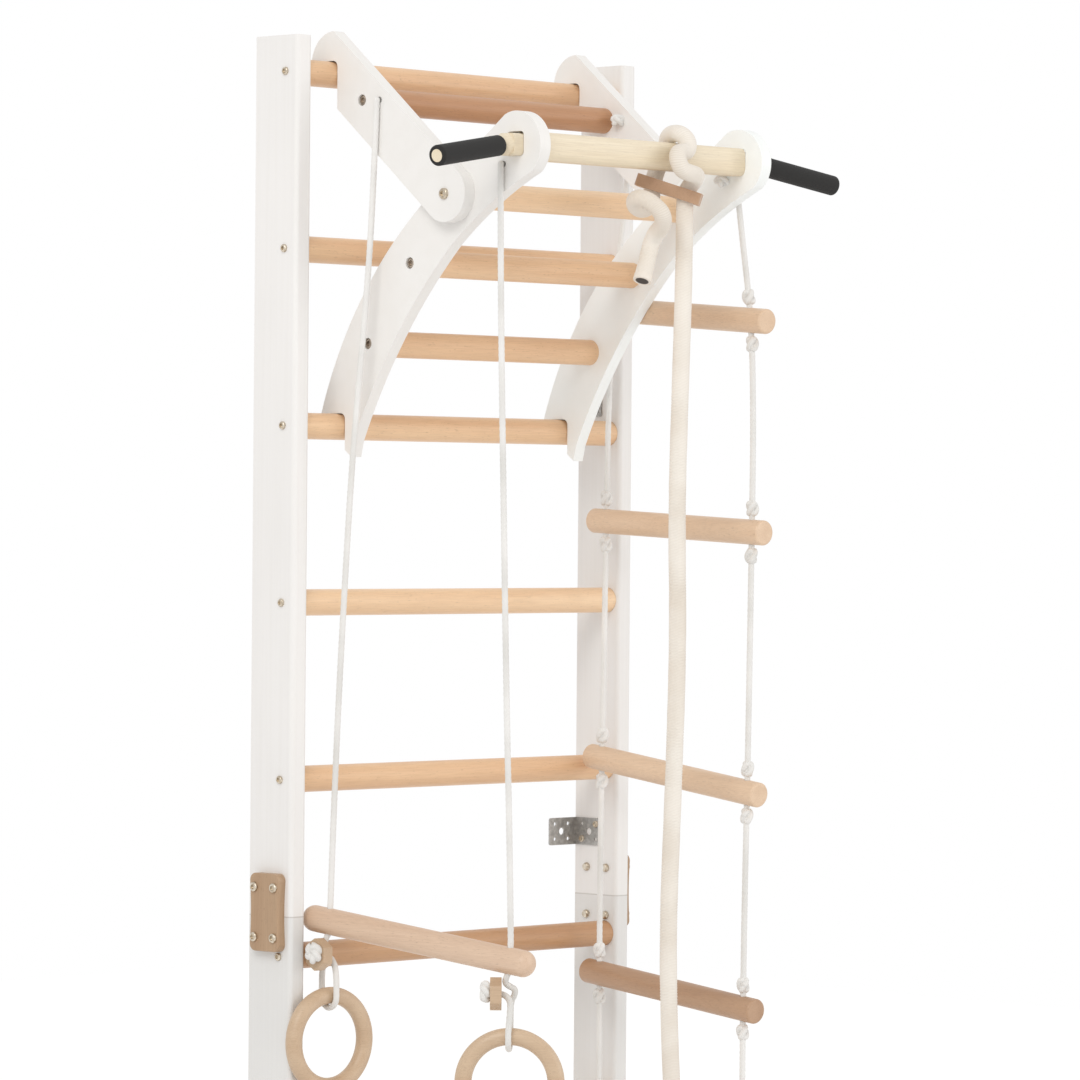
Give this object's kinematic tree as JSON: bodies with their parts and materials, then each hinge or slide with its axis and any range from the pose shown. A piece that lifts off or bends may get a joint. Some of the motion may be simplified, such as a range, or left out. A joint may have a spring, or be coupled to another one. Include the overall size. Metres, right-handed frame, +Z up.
{
  "type": "home wall bars set",
  "caption": "Wall bars with a hook-on pull-up frame that carries a climbing rope, a rope ladder, and a trapeze bar with hanging gym rings.",
  "frame": {"origin": "on the wall plane, midway between the large wall holes of the middle pair of brackets", "axes": "+X to the right seen from the room, +Y into the wall, +Z up"},
  "size_m": [0.732, 0.4194, 2.199],
  "materials": {
    "painted_post": "smooth white paint on wood",
    "beech_rung": "clear satin lacquer on beech",
    "painted_board": "smooth white paint on board",
    "beech_plate": "clear satin lacquer on beech",
    "beech_swing": "clear satin lacquer on beech",
    "beech_ladder": "clear satin lacquer on beech",
    "pale_bar": "clear satin lacquer on pale beech",
    "bright_screw": "zinc plated",
    "dark_screw": "black oxide",
    "bracket_steel": "grey zinc plate",
    "foam_grip": "matt black foam rubber",
    "thin_rope": "white braided cord",
    "thick_rope": "cream laid rope",
    "dark_tape": "black tape"
  },
  "bodies": {
    "wall_bars": {"left_post_upper": "painted_post", "left_post_lower": "painted_post", "right_post_upper": "painted_post", "right_post_lower": "painted_post", "rung_1": "beech_rung", "rung_2": "beech_rung", "rung_3": "beech_rung", "rung_4": "beech_rung", "rung_5": "beech_rung", "rung_6": "beech_rung", "rung_7": "beech_rung", "rung_8": "beech_rung", "rung_9": "beech_rung", "rung_10": "beech_rung", "rung_screws": "bright_screw", "left_joint_plate": "beech_plate", "right_joint_plate": "beech_plate", "joint_plate_bolts": "bright_screw", "joint_plate_nuts": "bright_screw", "wall_brackets_top": "bracket_steel", "wall_brackets_middle": "bracket_steel", "wall_brackets_bottom": "bracket_steel", "bracket_screws": "bright_screw"},
    "pull_up_frame": {"left_upper_arm": "painted_board", "right_upper_arm": "painted_board", "left_lower_arm": "painted_board", "right_lower_arm": "painted_board", "upper_crossbar": "beech_rung", "joint_crossbar": "beech_rung", "middle_crossbar": "beech_rung", "lower_crossbar": "beech_rung", "arm_bolts": "bright_screw", "crossbar_screws": "dark_screw", "pull_up_bar": "pale_bar", "left_grip": "foam_grip", "right_grip": "foam_grip", "trapeze_arm_knots": "thin_rope", "ladder_arm_knots": "thin_rope", "rope_hitch": "thick_rope", "rope_tail_tape": "dark_tape", "stop_plate": "beech_plate"},
    "climbing_rope": {"climbing_rope": "thick_rope", "climbing_rope_end": "dark_tape"},
    "trapeze_rear_rope": {"trapeze_rear_rope": "thin_rope"},
    "trapeze_front_rope": {"trapeze_front_rope": "thin_rope"},
    "trapeze": {"trapeze_bar": "beech_swing", "ring_sliders": "beech_swing", "ring_loops": "thin_rope"},
    "rear_ring": {"rear_ring": "beech_swing"},
    "front_ring": {"front_ring": "beech_swing"},
    "rope_ladder": {"ladder_rear_rope": "thin_rope", "ladder_front_rope": "thin_rope", "ladder_knots": "thin_rope", "ladder_rung_1": "beech_ladder", "ladder_rung_2": "beech_ladder", "ladder_rung_3": "beech_ladder", "ladder_rung_4": "beech_ladder", "ladder_rung_5": "beech_ladder", "ladder_rung_6": "beech_ladder"}
  },
  "joints": [
    {"name": "frame_lift", "type": "slide", "parent": "wall_bars", "child": "pull_up_frame", "axis": [0, 0, 1], "range_m": [0, 0.03]},
    {"name": "climbing_rope_swing", "type": "hinge", "parent": "pull_up_frame", "child": "climbing_rope", "pos_m": [0.0743, -0.3748, 0.8008], "axis": [1, 0, 0], "range_deg": [-60, 8]},
    {"name": "rear_rope_swing", "type": "hinge", "parent": "pull_up_frame", "child": "trapeze_rear_rope", "pos_m": [-0.2417, -0.145, 0.931], "axis": [1, 0, 0], "range_deg": [-12, 0]},
    {"name": "front_rope_swing", "type": "hinge", "parent": "pull_up_frame", "child": "trapeze_front_rope", "pos_m": [-0.2237, -0.3419, 0.8451], "axis": [1, 0, 0], "range_deg": [-12.9, 0]},
    {"name": "trapeze_bar_level", "type": "hinge", "parent": "trapeze_rear_rope", "child": "trapeze", "pos_m": [-0.2577, -0.0909, -0.0684], "axis": [1, 0, 0], "range_deg": [0, 8.2]},
    {"name": "rear_ring_swing", "type": "hinge", "parent": "trapeze", "child": "rear_ring", "pos_m": [-0.2577, -0.0907, -0.1813], "axis": [0.9962, -0.0872, 0], "range_deg": [-40, 0]},
    {"name": "front_ring_swing", "type": "hinge", "parent": "trapeze", "child": "front_ring", "pos_m": [-0.222, -0.3679, -0.2148], "axis": [0.6884, -0.7254, 0], "range_deg": [-60, 60]},
    {"name": "ladder_swing", "type": "hinge", "parent": "pull_up_frame", "child": "rope_ladder", "pos_m": [0.2267, -0.145, 0.931], "axis": [-0.0835, -0.9134, -0.3985], "range_deg": [0, 40]}
  ],
  "couplings": [
    {"joint": "front_rope_swing", "follows": "rear_rope_swing", "ratio": 1.073},
    {"joint": "trapeze_bar_level", "follows": "rear_rope_swing", "ratio": -0.6775}
  ]
}
